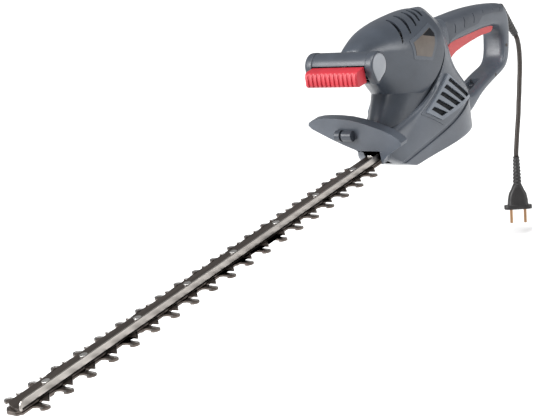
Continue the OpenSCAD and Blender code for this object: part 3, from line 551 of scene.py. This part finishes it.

# %% [markdown]
# ## Side vents
# Each side has a panel with five slanting slots. A low plinth lies on the
# shell, a paler grille stands on it, and the slots are cut down to a near-black
# floor, painted shade for the dark inside of the openings.
# %% Vents
vent_frame = [(156, 68), (204, 22), (129, 18.5), (103, 37.5)]
vent_plinth = [(153, 68), (205, 18), (133, 11), (97, 37.5)]
vent_slots = [
    [(152.6, 60.4), (159, 62), (199, 26.5), (189.5, 26.2)],
    [(141.2, 55.4), (148.4, 57.2), (185, 25.8), (175.3, 25.2)],
    [(131, 50.1), (137.6, 52), (171, 25.4), (161.6, 24.6)],
    [(120.6, 44.2), (127, 46), (155.6, 24.6), (145.2, 24)],
    [(111.3, 38), (117, 40), (140.6, 24), (129, 23.4)]]
case_skin = surface_of(case)
for side, name in ((-1, "left"), (1, "right")):
    add_piece("vent_plinth_" + name,
              drape(bmesh.new(), vent_plinth, case_skin, side, lift=-1.0, thick=1.9),
              slate, bevel=0.0006)
    grille = add_piece("vent_grille_shell_" + name,
                       drape(bmesh.new(), vent_frame, case_skin, side, lift=-0.8, thick=4.0),
                       rib_grey)
    slots, slot_shade_bm = bmesh.new(), bmesh.new()
    for slot in vent_slots:
        drape(slots, slot, case_skin, side, lift=-3, thick=12, cell=4)
        drape(slot_shade_bm, slot, case_skin, side, lift=-0.9, thick=1.95, cell=4)
    cut(grille, slots)
    bevel = grille.modifiers.new("Bevel", "BEVEL")
    bevel.width, bevel.segments, bevel.angle_limit = 0.0006, 2, math.radians(40)
    # The near-black floor under the slots is painted shade.
    add_piece("vent_slot_shade_" + name, slot_shade_bm, near_black)
    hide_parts("vent_grille_" + name)
print("vents:", len(vent_slots), "slots a side")

# %% [markdown]
# ## Motor column
# Between the guard and the hood the housing is a leaning column with a rounded
# nose. Its sections are level, and they draw forward towards the foot.
# %% Column
column_rows = []
for z, nose, grow in ((34, 46, 0.8), (42, 53, 0.82), (50, 60, 0.84), (60, 69, 0.87),
                      (70, 77, 0.9), (80, 86, 0.93), (88, 93, 0.95)):
    span = 192 - nose
    column_rows.append(both_sides([
        (nose, 0, z), (nose + 2, -9.5 * grow, z), (nose + 0.09 * span, -20 * grow, z),
        (nose + 0.19 * span, -30.5 * grow, z), (nose + 0.34 * span, -39 * grow, z),
        (nose + 0.52 * span, -42.6 * grow, z), (nose + 0.7 * span, -42 * grow, z),
        (nose + 0.86 * span, -35 * grow, z), (190, 0, z)]))
# The column's darker slate is painted shade.
add_piece("motor_column", skin_mesh(column_rows, ends=(False, False)), column_slate_painted_shade, sub=3,
          wall=SHELL_WALL)
print("column made")

# %% [markdown]
# ## Hood
# The hood over the motor is one dome with a broad arm reaching forward to the
# front handle. It is built from upright sections along X, round above and
# drawn in below to meet the column. Its lower edge is then cut along an arc.
# %% Hood
ROUND, BOXY, HOOD_POINTS = 2.15, 5.0, 24

def hood_section(x, half, top, middle, bottom, low_half):
    """Round above the middle, boxy below it, where it draws in to low_half."""
    loop = []
    for k in range(HOOD_POINTS):
        a = 2 * math.pi * (k + 0.5) / HOOD_POINTS
        c, s = math.cos(a), math.sin(a)
        power, height = (ROUND, top - middle) if s > 0 else (BOXY, middle - bottom)
        y, z = half * bend(c, 2 / power), middle + height * bend(s, 2 / power)
        if s < 0:
            y *= 1 - (1 - low_half / half) * ((middle - z) / (middle - bottom)) ** 1.4
        loop.append(at(x, y, z))
    return loop

hood_rows = [hood_section(*row) for row in (
    (29, 14, 137, 124, 114, 13), (33, 17.5, 140, 124, 109, 16), (46, 22.5, 144.6, 122, 104, 12),
    (60, 28, 148.6, 118, 93, 9), (72, 33.5, 150.8, 114, 79, 8), (80, 36.5, 151.8, 110, 65, 10),
    (94, 41.2, 152.6, 106, 50, 21), (112, 44.4, 152.8, 103, 50, 37.5),
    (132, 45.6, 152, 100, 50, 42.5), (150, 45.8, 150.8, 98, 52, 44.4),
    (159, 45.4, 149.8, 98, 54, 44.4), (164.5, 44.8, 149, 98, 56, 44),
    (166.4, 44.4, 148.6, 98, 58, 43.6), (167, 43, 146, 98, 60, 42))]
# The hood's darker slate is painted shade.
hood = add_piece("hood_shell", skin_mesh(hood_rows, row_crease={12: 0.7, 13: 1.0}), hood_slate_painted_shade,
                 sub=3, wall=SHELL_WALL)
hood_edge = [(40, 80), (62, 71), (77, 62), (88, 57), (100, 55.5), (110, 56.5), (122, 61.5),
             (133, 68.5), (145, 77), (155, 86.5), (161, 95), (163.5, 103), (190, 108), (190, 20),
             (40, 20)]
hood_cutter = add_prism(bmesh.new(), hood_edge, -70, 70)
print("hood sections:", len(hood_rows))

# %% [markdown]
# Five curved slots on each side of the dome let the motor breathe. Each one
# is a thin wall that follows a bend, narrow at its ends.
# %% Louvres
THINNEST, SWELL = 0.6, 2.0    # half widths of a slot

def louvre(bm, path, low, side):
    left, right = [], []
    steps = 8
    for k in range(steps + 1):
        t = k / steps * (len(path) - 1)
        i = min(int(t), len(path) - 2)
        x = path[i][0] + (path[i + 1][0] - path[i][0]) * (t - i)
        y = path[i][1] + (path[i + 1][1] - path[i][1]) * (t - i)
        half = THINNEST + SWELL * math.sin(math.pi * min(0.85, 0.12 + k / steps * 0.8))
        left.append((x - half, y))
        right.append((x + half, y))
    points = [at(x, side * y, low) for x, y in left + right[::-1]]
    extrude(bm, [add_face(bm, points)], (0, 0, 0.05))

louvres = (
    ([(106, 8), (104.6, 15), (102, 21), (98.1, 28.6), (94.2, 33.6), (90.6, 35.8)], 126),
    ([(123.6, 7), (122.5, 14), (120.4, 21), (115.5, 29.2), (110.2, 35.8)], 131),
    ([(141.4, 7), (139.6, 15), (136, 23), (128.3, 33)], 135.5),
    ([(152.6, 7), (150.8, 14), (147.6, 21.5), (141, 30.5)], 138),
    ([(162, 8), (160.8, 14), (158, 20.5), (153.4, 27.6)], 140.5))
for side in (-1, 1):
    for path, low in louvres:
        louvre(hood_cutter, path, low, side)
cut(hood, hood_cutter)
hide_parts("motor_hood")
print("louvres:", len(louvres), "a side")

# %% [markdown]
# A plain plate with no lettering sits in a raised frame on each side of the
# hood. Its upper corner is darker than the rest.
# %% Plates
hood_skin = surface_of(hood)
shade = [(126, 125.6), (146.2, 128.4), (148.8, 120.7), (147, 117.4)]
plate = [(105.6, 123), (146.4, 128.6), (149, 120.7), (143, 110.2), (130.5, 97.2), (104.4, 107.6)]
frame_line = [(101, 126.5), (151, 133), (154.5, 121), (147.5, 108), (131.5, 92.5), (100.5, 104.5)]
for side, name in ((-1, "left"), (1, "right")):
    add_piece("plate_rim_" + name,
              drape(bmesh.new(), frame_line, hood_skin, side, lift=-0.6, thick=1.2),
              slate, bevel=0.0005)
    film = add_piece("plain_plate_" + name,
                     drape(bmesh.new(), plate, hood_skin, side, lift=0.2, thick=0.8),
                     label_film, bevel=0.0002)
    add_piece("plate_band_" + name,
              drape(bmesh.new(), shade, hood_skin, side, lift=0.25, thick=0.85), near_black)
    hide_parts("label_plate_" + name)
print("plates made")

# %% [markdown]
# ## Rear handle
# The D-shaped handle is one rounded bar that leaves the body high, turns down
# behind the hand and comes back low. Each station names a point on its outer
# and on its inner line, and the section stands between them.
# %% Rear handle
handle_stations = [
    ((196, 124), (199, 80), 13.5), ((212, 118.5), (214, 79.5), 14.8),
    ((232, 115.8), (232, 83.5), 16.2), ((258, 113.4), (257, 81.4), 17.2),
    ((284, 110.6), (281, 79.6), 17.6), ((308, 107), (303, 77.8), 17.6),
    ((332, 102.6), (324, 75.4), 17.6), ((353, 98), (340.5, 71.5), 17.5),
    ((370, 93), (349.5, 67), 17.3), ((377.5, 82), (353.8, 61.5), 17.1),
    ((377, 68), (353.6, 54.5), 16.9), ((373, 51), (351, 45), 16.8),
    ((367.5, 35), (347.6, 34.5), 16.7), ((361, 21.5), (343.6, 27), 16.7),
    ((350, 12), (337, 21), 16.8), ((335, 8.6), (326.5, 19.6), 16.9),
    ((317, 6), (313, 18.6), 17), ((299, 3.4), (297, 16.2), 17), ((282, 0), (280, 13), 17.1),
    ((268, -4.6), (265, 10), 17.3), ((254, -12), (250, 9), 17.5), ((240, -17), (238, 14), 17.6),
    ((215, -17), (216, 34), 17.6)]
BOXED, SOFTER = 0.5, 0.8            # the palm side is rounder than the finger side
TALLER, WIDER = 1.03, 1.02          # makes up for what the subdivision draws in
BORE_HALF = 14.6                    # half the width of the space inside the bar

def handle_row(outer, inner, half, grow=0.0):
    o, i = at(outer[0], 0, outer[1]), at(inner[0], 0, inner[1])
    mid, reach = (o + i) / 2, (o - i) / 2
    reach = reach * (TALLER + grow / (reach.length * 1000))
    loop = []
    for k in range(20):
        a = 2 * math.pi * (k + 0.5) / 20
        c, s = math.cos(a), math.sin(a)
        wide = (WIDER * half + grow) / 1000 * bend(c, BOXED)
        loop.append(mid + reach * bend(s, SOFTER if s > 0 else BOXED) + Vector((0, wide, 0)))
    return loop

handle = add_piece("rear_handle", skin_mesh([handle_row(*st) for st in handle_stations]), slate,
                   sub=2)
inside = add_prism(bmesh.new(), [
    (222, 110), (256, 108), (300, 102.5), (345, 94), (362, 89), (369, 84), (371, 77), (365, 50),
    (360, 50), (360, 66), (350, 76), (342, 81), (322, 85), (280, 88), (222, 89)],
    -BORE_HALF, BORE_HALF)
cut(handle, inside)
gaps = add_block(bmesh.new(), (215, -10, 60), (347, 10, 91))
add_block(gaps, (262, -7, -24), (292, 7, 32))
cut(handle, gaps)
print("handle stations:", len(handle_stations))

# %% [markdown]
# The grip carries a softer cover over its top and sides. It is the same bar
# grown by a millimetre, and everything below its curved lower edge is cut off.
# Short finger grooves are cut into its sides.
# %% Grip cover
cover_rows = [handle_row(*st, grow=0.9) for st in handle_stations[1:10]]
cover = add_piece("grip_cover", skin_mesh(cover_rows), grip_rubber, sub=2)
below = add_prism(bmesh.new(), [
    (190, 60), (216, 78), (222, 84), (228, 89), (240, 91.5), (262, 91), (280, 89.6), (292, 89.4),
    (298, 92), (304, 95), (316, 94.4), (330, 92), (346, 88.5), (358, 85), (366, 92), (372, 110),
    (400, 110), (400, 20), (190, 20)], -40, 40)
cut(cover, below)
hollow = bmesh.new()
add_prism(hollow, [(205, 112), (256, 108), (300, 102.5), (345, 94), (362, 89), (369, 80),
                   (350, 76), (342, 81), (322, 85), (280, 88), (205, 80)],
          -BORE_HALF, BORE_HALF)
cut(cover, hollow)
ridges = bmesh.new()
for x0, z0, x1, z1 in ((238.4, 106, 235.6, 94), (261.4, 107.5, 258, 94.6),
                       (284.4, 105.6, 281.6, 93), (309.6, 103.4, 307.6, 98),
                       (335, 99, 333.2, 95), (352.6, 93.4, 350.4, 88.6)):
    for side in (-1, 1):
        out, skin = 30 * side, 16.6 * side
        bow = (x0 + x1) / 2 + 1.6, (z0 + z1) / 2
        line = [(x0, z0), bow, (x1, z1)]
        add_prism(ridges, [(x - 0.7, z) for x, z in line] + [(x + 0.7, z) for x, z in line[::-1]],
                  min(out, skin), max(out, skin))
cut(cover, ridges)
print("grip made")

# %% [markdown]
# ## Trigger
# The long trigger lies under the grip. Its outline is drawn in X and Z, and a
# wide bevel makes it comfortable to the fingers.
# %% Trigger
trigger_bm = add_prism(bmesh.new(), [
    (221.6, 58), (224.5, 60.4), (229, 63), (236, 65.8), (246, 67.6), (262, 68.4), (285, 68.6),
    (305, 68), (318, 67), (328, 65.4), (335, 64.8), (340.4, 66.4), (342.6, 70), (343, 76),
    (342.4, 83), (338, 85.5), (326, 86), (300, 84.5), (262, 84), (236, 84), (225, 80), (219.4, 70),
    (219.4, 61)], -9.5, 9.5)
trigger = add_piece("trigger_shell", trigger_bm, salmon_plastic, "trigger", bevel=0.0022)
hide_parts("rear_trigger")
print("trigger made")

# %% [markdown]
# ## Front handle
# The front bar has a drop-shaped section. Wider dark collars close its ends,
# and a pale drop-shaped plate is let into each collar.
# %% Front handle
POINT_WAY = math.radians(245)

def drop_row(y, grow=0.0, radius=15.6, tip=22.5):
    """A circle drawn out to a point, low in front. grow moves the whole outline out."""
    flank, loop = math.acos(radius / tip), []
    for k in range(24):
        a = 2 * math.pi * k / 24 + math.radians(5)
        off = abs((a - POINT_WAY + math.pi) % (2 * math.pi) - math.pi)
        r = grow + (radius / math.cos(flank - off) if off < flank else radius)
        loop.append(at(21 + r * math.cos(a), y, 124 + r * math.sin(a)))
    return loop

bar = add_piece("front_bar", skin_mesh([drop_row(y, g) for y, g in (
    (-40, -3), (-39.5, 0), (-30, 0), (0, 0), (30, 0), (39.5, 0), (40, -3))]), dark_slate, sub=2)
pocket = add_block(bmesh.new(), (-20, -36.6, 107.2), (21, 36.6, 128.2))
cut(bar, pocket)
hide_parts("front_handle")
for side, name in ((-1, "left"), (1, "right")):
    add_piece("bar_collar_" + name, skin_mesh([drop_row(side * y, g) for y, g in (
        (37, -1), (37.2, 0.3), (39, 0.6), (44.6, 0.5), (46.6, -0.3), (47, -1.2), (46.6, -1.8),
        (45.6, -2))], row_crease={1: 0.6}), dark_slate, sub=2)
    face = add_piece("bar_end_" + name, skin_mesh([drop_row(side * y, g) for y, g in (
        (44, -1.9), (46.4, -1.9), (47.1, -2.8), (47.6, -6), (48, -10))]), pale_grey, sub=2)
    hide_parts("handle_cap_" + name)
print("front handle made")

# %% [markdown]
# The red bar in front must be held down to run the tool. Twelve upright ribs
# on its face stop the fingers slipping.
# %% Front switch bar
red_bm = add_prism(bmesh.new(), [
    (6, 108.4), (6, 127), (-6, 126.6), (-9.5, 125.4), (-11.6, 121), (-12.2, 111.4), (-10, 108.4)],
    -36, 36)
RIBS, RIB_PITCH, RIB_HALF = 12, 6, 1.9
for k in range(RIBS):
    y = -33 + RIB_PITCH * k
    add_prism(red_bm, [(-8, 109), (-8, 125.6), (-10.2, 125), (-12.6, 121.4), (-14, 112),
                       (-12, 109)], y - RIB_HALF, y + RIB_HALF)
red_bar = add_piece("red_switch_bar", red_bm, red_plastic, "front_bar", bevel=0.0009)
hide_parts("front_switch_bar")
print("switch bar made")

# %% [markdown]
# ## Hand guard
# The guard is a shallow tray that opens to the rear. Its outline is filled,
# drawn back to make the rim, and the middle of the rear face is pushed in.
# %% Guard
guard_line = [
    (79, 47.5), (77.5, 51), (72, 54), (62, 55.8), (50, 56.4), (36, 56), (20, 54.6), (4, 51.4),
    (-12, 46.6), (-26, 41.6), (-38, 36), (-46, 30.6), (-48.6, 26.6), (-47.4, 22.8), (-40, 18.6),
    (-32, 14), (-26, 10.4), (-20.5, 5), (-18, 0), (-16.4, 0), (-16.4, 15.8), (13.4, 15.8),
    (13.4, 14), (17, 16.8), (24, 19.4), (34, 23.4), (46, 28.6), (58, 34.4), (68, 39.4), (75, 43)]
GUARD_DEPTH, GUARD_WALL, TRAY_DEPTH = 0.014, 0.0024, 0.010
guard_bm = bmesh.new()
add_face(guard_bm, [at(30, y, z) for y, z in guard_line])
bmesh.ops.subdivide_edges(guard_bm, edges=guard_bm.edges[:], cuts=1)
back = extrude(guard_bm, guard_bm.faces[:], (GUARD_DEPTH, 0, 0))
bmesh.ops.inset_region(guard_bm, faces=back, thickness=GUARD_WALL, use_even_offset=True)
bmesh.ops.translate(guard_bm, verts=list({v for f in back for v in f.verts}),
                    vec=(-TRAY_DEPTH, 0, 0))
guard = add_piece("guard_shell", guard_bm, slate, bevel=0.0012)
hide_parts("hand_guard")
print("guard made")

# %% [markdown]
# A short double barrel lies across the guard's face and holds the blade
# sheath. Its two cylinders lie along Y, with a thinner neck between them.
# %% Guard clip
clip_bm = bmesh.new()
for y, length, radius in ((33.4, 7.6, 7.0), (28.9, 2.4, 4.6), (20.8, 14, 6.3)):
    made = bmesh.ops.create_cone(clip_bm, cap_ends=True, segments=28, radius1=radius / 1000,
                                 radius2=radius / 1000, depth=length / 1000)["verts"]
    bmesh.ops.rotate(clip_bm, verts=made, cent=(0, 0, 0),
                     matrix=Matrix.Rotation(math.pi / 2, 3, "X"))
    bmesh.ops.translate(clip_bm, verts=made, vec=at(26.6, y, 36))
clip = add_piece("clip_barrels", clip_bm, dark_slate, bevel=0.0006)
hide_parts("guard_clip")
print("clip made")

# %% [markdown]
# ## Support bar
# The bar above the blades is one steel angle: a flat web with an upright
# flange along its left edge. Its darker web is painted shade and its bright
# flange a painted highlight. Both end in small rounded corners.
# %% Support bar
web_bm = bmesh.new()
nose = [(-548, 12), (-551.5, 11.2), (-554.5, 7), (-558.5, -5), (-558.6, -9), (-556.5, -12)]
web_points = [(56, 12)] + nose + [(56, -12)]
extrude(web_bm, [add_face(web_bm, [at(x, y, 2.3) for x, y in web_points])], (0, 0, 0.0027))
# The web's darker steel is painted shade.
web = add_piece("bar_web", web_bm, dark_steel_and_web_shade, bevel=0.0004, smooth=False)
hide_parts("support_bar")
# The flange's bright steel is a painted highlight.
flange_bm = add_prism(bmesh.new(), [
    (56, 2.4), (56, 11.3), (-550, 11.3), (-554.6, 10.4), (-557.2, 8), (-558, 5), (-558, 2.4)],
    -12, -9.8)
add_piece("bar_flange", flange_bm, bar_steel, bevel=0.0006, smooth=False)
refine("upper_blade", "short_tooth_blade", blade_steel, 0, "upper_blade_body", ground_steel)
refine("lower_blade", "long_tooth_blade", blade_steel, 0, "lower_blade_body", ground_steel)
refine("blade_bolts", "bolt_set", zinc, 0.0004, "tool_body")
refine("entry_plate", "blade_entry_plate", zinc, 0.0003, "tool_body")
refine("cable_hook", "cable_hook_shell", dark_slate, 0.0007, "tool_body")
print("bar and blades made")

# %% [markdown]
# ## Floor and light
# A pale floor lies below the hanging plug. A broad soft sun from above keeps
# it white, one large light stands in front on the right side of the tool, a
# weaker one fills its left side, and a dim white world lifts the shadows.
# %% Stage
FLOOR = at(0, 0, -232).z
bm = bmesh.new()
bmesh.ops.create_grid(bm, x_segments=1, y_segments=1, size=6)
bmesh.ops.translate(bm, verts=bm.verts, vec=(0, 0, FLOOR))
floor_mesh = bpy.data.meshes.new("floor")
bm.to_mesh(floor_mesh)
bm.free()
floor = bpy.data.objects.new("floor", floor_mesh)
bpy.context.collection.objects.link(floor)
floor_mesh.materials.append(finish("floor_paper", (0.93, 0.93, 0.93), 0.8, drift=0.01, bump=0.02))

def soft_light(name, place, target, size, power):
    data = bpy.data.lights.new(name, "AREA")
    data.size, data.energy = size, power
    lamp = bpy.data.objects.new(name, data)
    bpy.context.collection.objects.link(lamp)
    way = Vector(target) - Vector(place)
    turn = way.to_track_quat("-Z", "Y").to_matrix().to_4x4()
    lamp.matrix_world = Matrix.Translation(place) @ turn

soft_light("key", (-1.7, 0.9, 1.0), (-0.1, 0, 0), size=0.9, power=40)
soft_light("fill", (0.5, -2.0, 0.5), (-0.05, 0, 0), size=0.8, power=16)
overhead = bpy.data.lights.new("overhead", "SUN")
overhead.energy, overhead.angle = 3.1, 0.7
lamp = bpy.data.objects.new("overhead", overhead)
bpy.context.collection.objects.link(lamp)
lamp.matrix_world = Vector((0.35, 0.1, -1)).to_track_quat("-Z", "Y").to_matrix().to_4x4()
world = bpy.data.worlds.new("white_room")
bpy.context.scene.world = world
world.use_nodes = True
world.node_tree.nodes["Background"].inputs["Color"].default_value = (1, 1, 1, 1)
world.node_tree.nodes["Background"].inputs["Strength"].default_value = 0.3
print("stage set")
